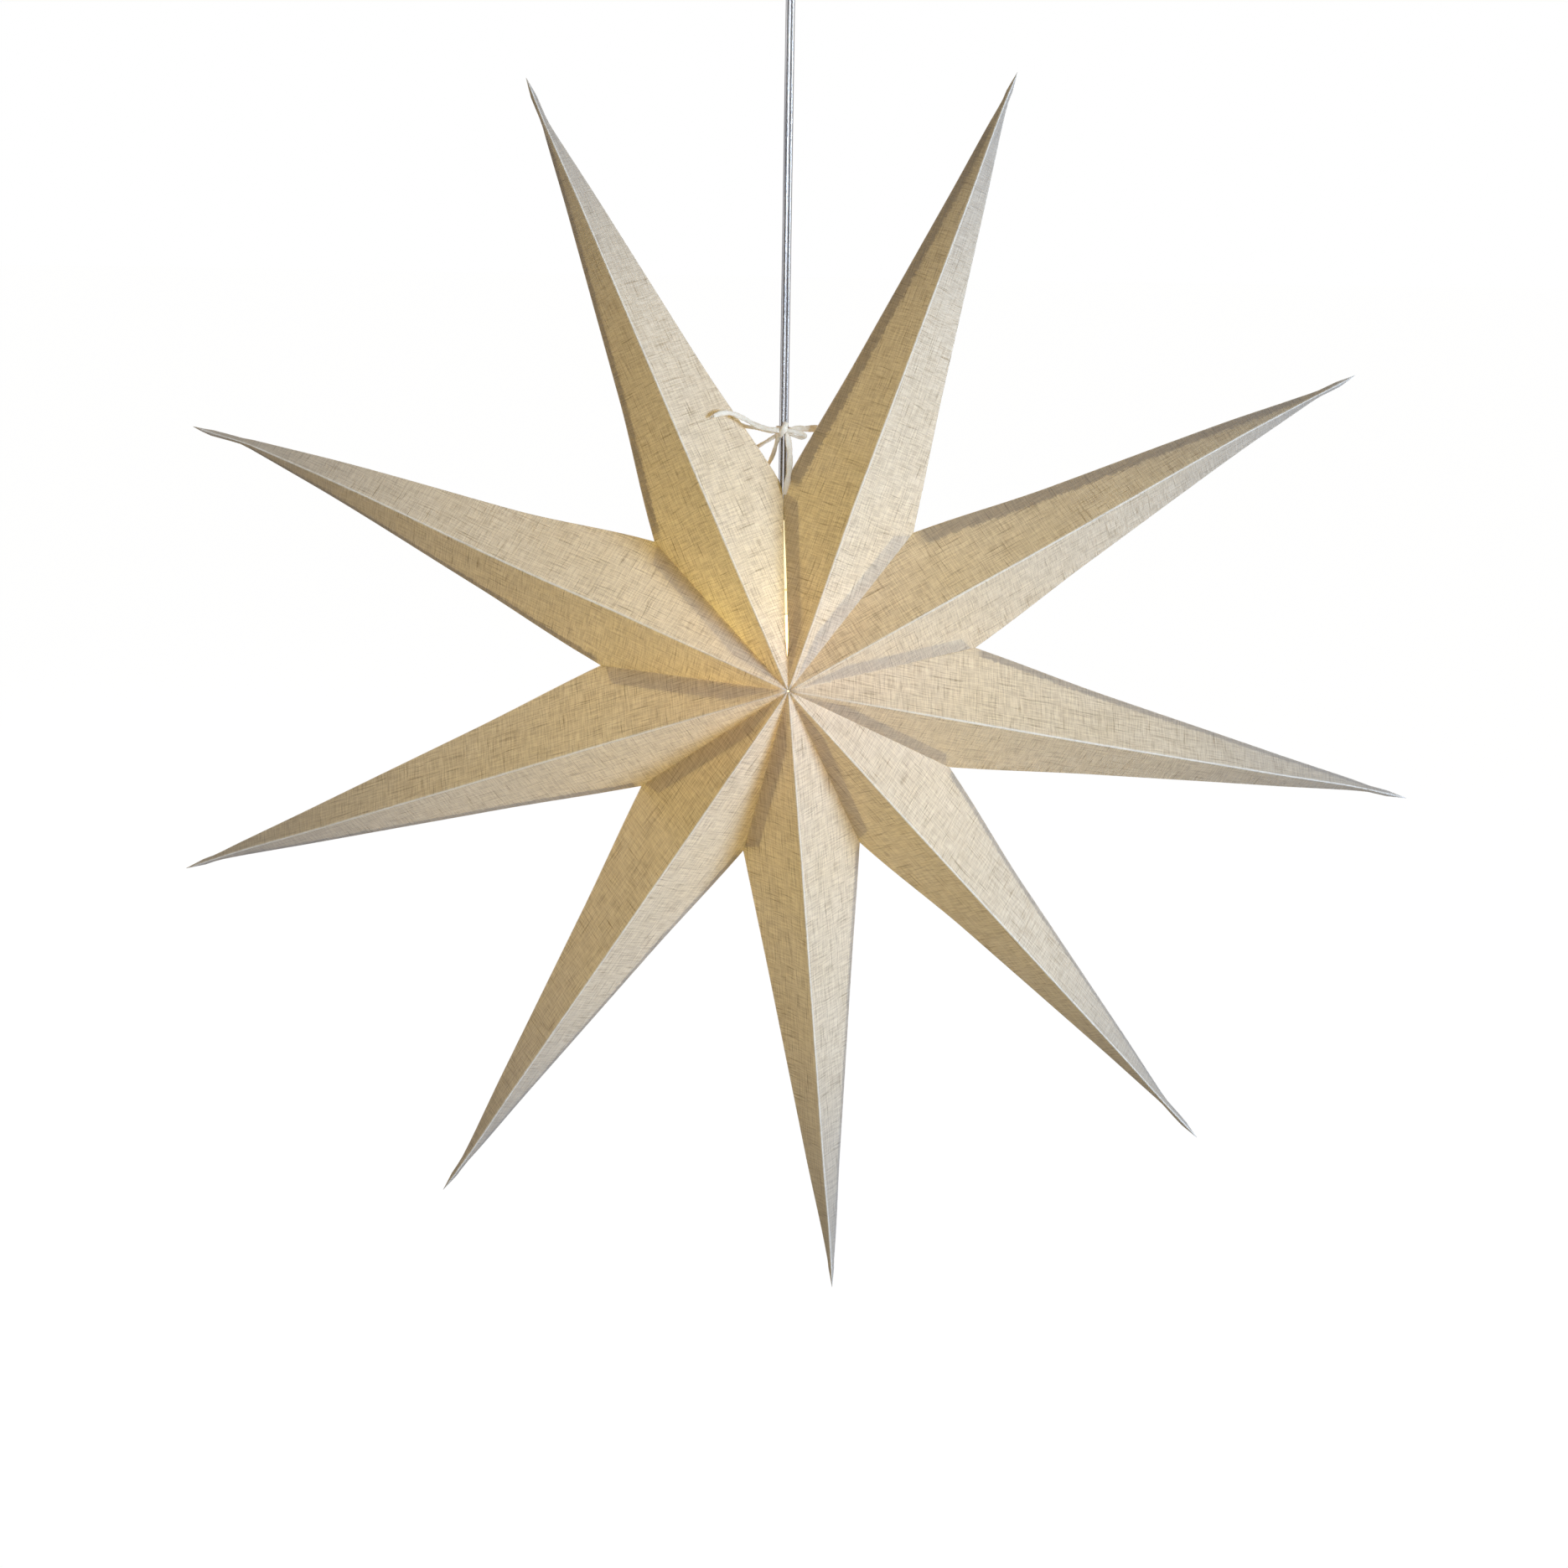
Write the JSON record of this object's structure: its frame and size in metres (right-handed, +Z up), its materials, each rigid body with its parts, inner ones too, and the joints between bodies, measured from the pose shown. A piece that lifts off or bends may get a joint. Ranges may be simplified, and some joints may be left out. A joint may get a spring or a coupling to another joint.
{
  "type": "folding star lantern",
  "caption": "Pointed folding star lantern of linen-faced paper that hangs on a clear cable, lit by a bulb inside and tied open with cord above the star.",
  "frame": {"origin": "centre of the plug's flat pin face; the star's centre is 580 mm below it and 5 mm to the right", "axes": "+Z up along the plug pins, +X to the right and +Y away from the viewer, so the star's front faces -Y"},
  "size_m": [0.7159, 0.1197, 0.9685],
  "materials": {
    "linen_paper": "matt linen weave, translucent",
    "clear_vinyl": "clear gloss",
    "tinned_copper": "stranded, tinned",
    "cotton_cord": "twisted cotton",
    "white_plastic": "moulded",
    "contact_brass": "pressed brass",
    "nickel_plate": "nickel plated",
    "bulb_glass": "frosted",
    "stem_glass": "clear",
    "tungsten": "drawn wire"
  },
  "bodies": {
    "suspension": {"cable_jacket_lower": "clear_vinyl", "cable_jacket_upper": "clear_vinyl", "cable_wire_live": "tinned_copper", "cable_wire_neutral": "tinned_copper", "lampholder_cap": "white_plastic", "lampholder_body": "white_plastic", "lampholder_screw_shell": "contact_brass", "lampholder_cable_grip": "white_plastic", "switch_base": "white_plastic", "switch_cover": "white_plastic", "plug_body": "white_plastic", "plug_pin_left": "nickel_plate", "plug_pin_right": "nickel_plate", "tie_cord_knot": "cotton_cord", "tie_cord_bow": "cotton_cord", "tie_cord_left_loop": "cotton_cord", "tie_cord_lower_strand": "cotton_cord", "tie_cord_right_strand": "cotton_cord"},
    "centre_contact": {"lampholder_centre_contact": "contact_brass"},
    "bulb": {"bulb_glass": "bulb_glass", "bulb_screw_cap": "nickel_plate", "bulb_stem": "stem_glass", "bulb_filament": "tungsten"},
    "switch_rocker": {"switch_rocker": "white_plastic"},
    "arm_1_front_left": {"arm_1_front_left_panel": "linen_paper"},
    "arm_1_front_right": {"arm_1_front_right_panel": "linen_paper"},
    "arm_1_back_left": {"arm_1_back_left_panel": "linen_paper"},
    "arm_1_back_right": {"arm_1_back_right_panel": "linen_paper"},
    "arm_2_front_left": {"arm_2_front_left_panel": "linen_paper"},
    "arm_2_front_right": {"arm_2_front_right_panel": "linen_paper"},
    "arm_2_back_left": {"arm_2_back_left_panel": "linen_paper"},
    "arm_2_back_right": {"arm_2_back_right_panel": "linen_paper"},
    "arm_3_front_left": {"arm_3_front_left_panel": "linen_paper"},
    "arm_3_front_right": {"arm_3_front_right_panel": "linen_paper"},
    "arm_3_back_left": {"arm_3_back_left_panel": "linen_paper"},
    "arm_3_back_right": {"arm_3_back_right_panel": "linen_paper"},
    "arm_4_front_left": {"arm_4_front_left_panel": "linen_paper"},
    "arm_4_front_right": {"arm_4_front_right_panel": "linen_paper"},
    "arm_4_back_left": {"arm_4_back_left_panel": "linen_paper"},
    "arm_4_back_right": {"arm_4_back_right_panel": "linen_paper"},
    "arm_5_front_left": {"arm_5_front_left_panel": "linen_paper"},
    "arm_5_front_right": {"arm_5_front_right_panel": "linen_paper"},
    "arm_5_back_left": {"arm_5_back_left_panel": "linen_paper"},
    "arm_5_back_right": {"arm_5_back_right_panel": "linen_paper"},
    "arm_6_front_left": {"arm_6_front_left_panel": "linen_paper"},
    "arm_6_front_right": {"arm_6_front_right_panel": "linen_paper"},
    "arm_6_back_left": {"arm_6_back_left_panel": "linen_paper"},
    "arm_6_back_right": {"arm_6_back_right_panel": "linen_paper"},
    "arm_7_front_left": {"arm_7_front_left_panel": "linen_paper"},
    "arm_7_front_right": {"arm_7_front_right_panel": "linen_paper"},
    "arm_7_back_left": {"arm_7_back_left_panel": "linen_paper"},
    "arm_7_back_right": {"arm_7_back_right_panel": "linen_paper"},
    "arm_8_front_left": {"arm_8_front_left_panel": "linen_paper"},
    "arm_8_front_right": {"arm_8_front_right_panel": "linen_paper"},
    "arm_8_back_left": {"arm_8_back_left_panel": "linen_paper"},
    "arm_8_back_right": {"arm_8_back_right_panel": "linen_paper"},
    "arm_9_front_left": {"arm_9_front_left_panel": "linen_paper"},
    "arm_9_front_right": {"arm_9_front_right_panel": "linen_paper"},
    "arm_9_back_left": {"arm_9_back_left_panel": "linen_paper"},
    "arm_9_back_right": {"arm_9_back_right_panel": "linen_paper"}
  },
  "joints": [
    {"name": "star_fold", "type": "hinge", "parent": "suspension", "child": "arm_5_front_left", "pos_m": [0.005, -0.06176, -0.57996], "axis": [-0.0871, -0.1631, 0.9828], "range_deg": [0, 34.49]},
    {"name": "arm_5_right_ridge_fold", "type": "hinge", "parent": "suspension", "child": "arm_5_front_right", "pos_m": [0.005, -0.06176, -0.57996], "axis": [0.0871, 0.1631, -0.9828], "range_deg": [0, 34.79]},
    {"name": "valley_5_fold", "type": "hinge", "parent": "arm_5_front_right", "child": "arm_6_front_left", "pos_m": [0.00497, -0.06219, -0.5801], "axis": [0.1985, -0.49, 0.8488], "range_deg": [0, 81.19]},
    {"name": "ridge_6_fold", "type": "hinge", "parent": "arm_6_front_left", "child": "arm_6_front_right", "pos_m": [0.00502, -0.06176, -0.57997], "axis": [-0.5242, 0.1631, -0.8359], "range_deg": [0, 71.38]},
    {"name": "valley_6_fold", "type": "hinge", "parent": "arm_6_front_right", "child": "arm_7_front_left", "pos_m": [0.00492, -0.06218, -0.58006], "axis": [0.6776, -0.49, 0.5484], "range_deg": [0, 84.58]},
    {"name": "ridge_7_fold", "type": "hinge", "parent": "arm_7_front_left", "child": "arm_7_front_right", "pos_m": [0.00504, -0.06177, -0.57999], "axis": [-0.9337, 0.1631, -0.3189], "range_deg": [0, 74.82]},
    {"name": "valley_7_fold", "type": "hinge", "parent": "arm_7_front_right", "child": "arm_8_front_left", "pos_m": [0.0049, -0.06218, -0.57999], "axis": [0.8715, -0.49, -0.0193], "range_deg": [0, 88.61]},
    {"name": "ridge_8_fold", "type": "hinge", "parent": "arm_8_front_left", "child": "arm_8_front_right", "pos_m": [0.00503, -0.06178, -0.58001], "axis": [-0.9113, 0.1631, 0.3781], "range_deg": [0, 77.91]},
    {"name": "valley_8_fold", "type": "hinge", "parent": "arm_8_front_right", "child": "arm_9_front_left", "pos_m": [0.00493, -0.06217, -0.57993], "axis": [0.6292, -0.49, -0.6033], "range_deg": [0, 91.42]},
    {"name": "ridge_9_fold", "type": "hinge", "parent": "arm_9_front_left", "child": "arm_9_front_right", "pos_m": [0.00501, -0.06178, -0.58003], "axis": [-0.4074, 0.1631, 0.8986], "range_deg": [0, 79.33]},
    {"name": "valley_4_fold", "type": "hinge", "parent": "arm_5_front_left", "child": "arm_4_front_right", "pos_m": [0.00504, -0.06219, -0.5801], "axis": [0.3448, 0.49, -0.8007], "range_deg": [0, 80.16]},
    {"name": "ridge_4_fold", "type": "hinge", "parent": "arm_4_front_right", "child": "arm_4_front_left", "pos_m": [0.00497, -0.06176, -0.57997], "axis": [-0.6558, -0.1631, 0.7371], "range_deg": [0, 69.69]},
    {"name": "valley_3_fold", "type": "hinge", "parent": "arm_4_front_left", "child": "arm_3_front_right", "pos_m": [0.00509, -0.06218, -0.58005], "axis": [0.7551, 0.49, -0.4356], "range_deg": [0, 82.04]},
    {"name": "ridge_3_fold", "type": "hinge", "parent": "arm_3_front_right", "child": "arm_3_front_left", "pos_m": [0.00496, -0.06177, -0.57999], "axis": [-0.9694, -0.1631, 0.1835], "range_deg": [0, 72.36]},
    {"name": "valley_2_fold", "type": "hinge", "parent": "arm_3_front_left", "child": "arm_2_front_right", "pos_m": [0.0051, -0.06218, -0.57998], "axis": [0.8621, 0.49, 0.1295], "range_deg": [0, 85.83]},
    {"name": "ridge_2_fold", "type": "hinge", "parent": "arm_2_front_right", "child": "arm_2_front_left", "pos_m": [0.00497, -0.06177, -0.58002], "axis": [-0.8625, -0.1631, -0.479], "range_deg": [0, 75.87]},
    {"name": "valley_1_fold", "type": "hinge", "parent": "arm_2_front_left", "child": "arm_1_front_right", "pos_m": [0.00506, -0.06217, -0.57992], "axis": [0.5655, 0.49, 0.6634], "range_deg": [0, 89.66]},
    {"name": "ridge_1_fold", "type": "hinge", "parent": "arm_1_front_right", "child": "arm_1_front_left", "pos_m": [0.00499, -0.06178, -0.58003], "axis": [-0.3202, -0.1631, -0.9332], "range_deg": [0, 78.56]},
    {"name": "arm_1_left_edge_fold", "type": "hinge", "parent": "arm_1_front_left", "child": "arm_1_back_left", "pos_m": [0.12669, 0, -0.22529], "axis": [0.4599, 0, 0.888], "range_deg": [0, 77.32]},
    {"name": "arm_1_right_edge_fold", "type": "hinge", "parent": "arm_1_front_right", "child": "arm_1_back_right", "pos_m": [0.12669, 0, -0.22529], "axis": [-0.1821, 0, -0.9833], "range_deg": [0, 77.32]},
    {"name": "arm_2_left_edge_fold", "type": "hinge", "parent": "arm_2_front_left", "child": "arm_2_back_left", "pos_m": [0.33283, 0, -0.39793], "axis": [0.9339, 0, 0.3576], "range_deg": [0, 74.69]},
    {"name": "arm_2_right_edge_fold", "type": "hinge", "parent": "arm_2_front_right", "child": "arm_2_back_right", "pos_m": [0.33283, 0, -0.39793], "axis": [-0.7972, 0, -0.6038], "range_deg": [0, 74.69]},
    {"name": "arm_3_left_edge_fold", "type": "hinge", "parent": "arm_3_front_left", "child": "arm_3_back_left", "pos_m": [0.37346, 0, -0.64974], "axis": [0.9491, 0, -0.3151], "range_deg": [0, 71.25]},
    {"name": "arm_3_right_edge_fold", "type": "hinge", "parent": "arm_3_front_right", "child": "arm_3_back_right", "pos_m": [0.37346, 0, -0.64974], "axis": [-0.9986, 0, 0.0535], "range_deg": [0, 71.25]},
    {"name": "arm_4_left_edge_fold", "type": "hinge", "parent": "arm_4_front_left", "child": "arm_4_back_left", "pos_m": [0.25426, 0, -0.86017], "axis": [0.564, 0, -0.8258], "range_deg": [0, 68.63]},
    {"name": "arm_4_right_edge_fold", "type": "hinge", "parent": "arm_4_front_right", "child": "arm_4_back_right", "pos_m": [0.25426, 0, -0.86017], "axis": [-0.7545, 0, 0.6563], "range_deg": [0, 68.63]},
    {"name": "arm_5_left_edge_fold", "type": "hinge", "parent": "arm_5_front_left", "child": "arm_5_back_left", "pos_m": [0.03811, 0, -0.95354], "axis": [-0.0386, 0, -0.9993], "range_deg": [0, 68.24]},
    {"name": "arm_5_right_edge_fold", "type": "hinge", "parent": "arm_5_front_right", "child": "arm_5_back_right", "pos_m": [0.03811, 0, -0.95354], "axis": [-0.2138, 0, 0.9769], "range_deg": [0, 68.24]},
    {"name": "arm_6_left_edge_fold", "type": "hinge", "parent": "arm_6_front_left", "child": "arm_6_back_left", "pos_m": [-0.19423, 0, -0.8977], "axis": [-0.6377, 0, -0.7703], "range_deg": [0, 70.29]},
    {"name": "arm_6_right_edge_fold", "type": "hinge", "parent": "arm_6_front_right", "child": "arm_6_back_right", "pos_m": [-0.19423, 0, -0.8977], "axis": [0.4157, 0, 0.9095], "range_deg": [0, 70.29]},
    {"name": "arm_7_left_edge_fold", "type": "hinge", "parent": "arm_7_front_left", "child": "arm_7_back_left", "pos_m": [-0.34987, 0, -0.7012], "axis": [-0.982, 0, -0.1891], "range_deg": [0, 73.66]},
    {"name": "arm_7_right_edge_fold", "type": "hinge", "parent": "arm_7_front_right", "child": "arm_7_back_right", "pos_m": [-0.34987, 0, -0.7012], "axis": [0.8925, 0, 0.4511], "range_deg": [0, 73.66]},
    {"name": "arm_8_left_edge_fold", "type": "hinge", "parent": "arm_8_front_left", "child": "arm_8_back_left", "pos_m": [-0.34137, 0, -0.43629], "axis": [-0.8581, 0, 0.5134], "range_deg": [0, 76.68]},
    {"name": "arm_8_right_edge_fold", "type": "hinge", "parent": "arm_8_front_right", "child": "arm_8_back_right", "pos_m": [-0.34137, 0, -0.43629], "axis": [0.9696, 0, -0.2448], "range_deg": [0, 76.68]},
    {"name": "arm_9_left_edge_fold", "type": "hinge", "parent": "arm_9_front_left", "child": "arm_9_back_left", "pos_m": [-0.14985, 0, -0.23847], "axis": [-0.2729, 0, 0.962], "range_deg": [0, 78.08]},
    {"name": "arm_9_right_edge_fold", "type": "hinge", "parent": "arm_9_front_right", "child": "arm_9_back_right", "pos_m": [-0.14985, 0, -0.23847], "axis": [0.5438, 0, -0.8392], "range_deg": [0, 78.08]},
    {"name": "contact_spring", "type": "slide", "parent": "suspension", "child": "centre_contact", "axis": [0, 0, -1], "range_m": [0, 0.002]},
    {"name": "bulb_turn", "type": "hinge", "parent": "centre_contact", "child": "bulb", "pos_m": [0, 0, -0.575], "axis": [0, 0, -1], "range_deg": [0, 255]},
    {"name": "switch_tilt", "type": "hinge", "parent": "suspension", "child": "switch_rocker", "pos_m": [0, -0.005, -0.1], "axis": [-1, 0, 0], "range_deg": [0, 16]}
  ],
  "couplings": [
    {"joint": "arm_5_right_ridge_fold", "follows": "star_fold", "ratio": 1},
    {"joint": "valley_5_fold", "follows": "star_fold", "ratio": 2.3453},
    {"joint": "ridge_6_fold", "follows": "star_fold", "ratio": 2.0607},
    {"joint": "valley_6_fold", "follows": "star_fold", "ratio": 2.4434},
    {"joint": "ridge_7_fold", "follows": "star_fold", "ratio": 2.1604},
    {"joint": "valley_7_fold", "follows": "star_fold", "ratio": 2.5603},
    {"joint": "ridge_8_fold", "follows": "star_fold", "ratio": 2.25},
    {"joint": "valley_8_fold", "follows": "star_fold", "ratio": 2.6417},
    {"joint": "ridge_9_fold", "follows": "star_fold", "ratio": 2.2913},
    {"joint": "valley_4_fold", "follows": "star_fold", "ratio": 2.3154},
    {"joint": "ridge_4_fold", "follows": "star_fold", "ratio": 2.0117},
    {"joint": "valley_3_fold", "follows": "star_fold", "ratio": 2.3697},
    {"joint": "ridge_3_fold", "follows": "star_fold", "ratio": 2.0891},
    {"joint": "valley_2_fold", "follows": "star_fold", "ratio": 2.4796},
    {"joint": "ridge_2_fold", "follows": "star_fold", "ratio": 2.1908},
    {"joint": "valley_1_fold", "follows": "star_fold", "ratio": 2.5908},
    {"joint": "ridge_1_fold", "follows": "star_fold", "ratio": 2.2688},
    {"joint": "arm_1_left_edge_fold", "follows": "star_fold", "ratio": 2.233},
    {"joint": "arm_1_right_edge_fold", "follows": "star_fold", "ratio": 2.233},
    {"joint": "arm_2_left_edge_fold", "follows": "star_fold", "ratio": 2.1567},
    {"joint": "arm_2_right_edge_fold", "follows": "star_fold", "ratio": 2.1567},
    {"joint": "arm_3_left_edge_fold", "follows": "star_fold", "ratio": 2.057},
    {"joint": "arm_3_right_edge_fold", "follows": "star_fold", "ratio": 2.057},
    {"joint": "arm_4_left_edge_fold", "follows": "star_fold", "ratio": 1.9811},
    {"joint": "arm_4_right_edge_fold", "follows": "star_fold", "ratio": 1.9811},
    {"joint": "arm_5_left_edge_fold", "follows": "star_fold", "ratio": 1.9697},
    {"joint": "arm_5_right_edge_fold", "follows": "star_fold", "ratio": 1.9697},
    {"joint": "arm_6_left_edge_fold", "follows": "star_fold", "ratio": 2.0292},
    {"joint": "arm_6_right_edge_fold", "follows": "star_fold", "ratio": 2.0292},
    {"joint": "arm_7_left_edge_fold", "follows": "star_fold", "ratio": 2.1269},
    {"joint": "arm_7_right_edge_fold", "follows": "star_fold", "ratio": 2.1269},
    {"joint": "arm_8_left_edge_fold", "follows": "star_fold", "ratio": 2.2146},
    {"joint": "arm_8_right_edge_fold", "follows": "star_fold", "ratio": 2.2146},
    {"joint": "arm_9_left_edge_fold", "follows": "star_fold", "ratio": 2.2549},
    {"joint": "arm_9_right_edge_fold", "follows": "star_fold", "ratio": 2.2549},
    {"joint": "contact_spring", "follows": "bulb_turn", "m_per_rad": 0.00044882}
  ]
}
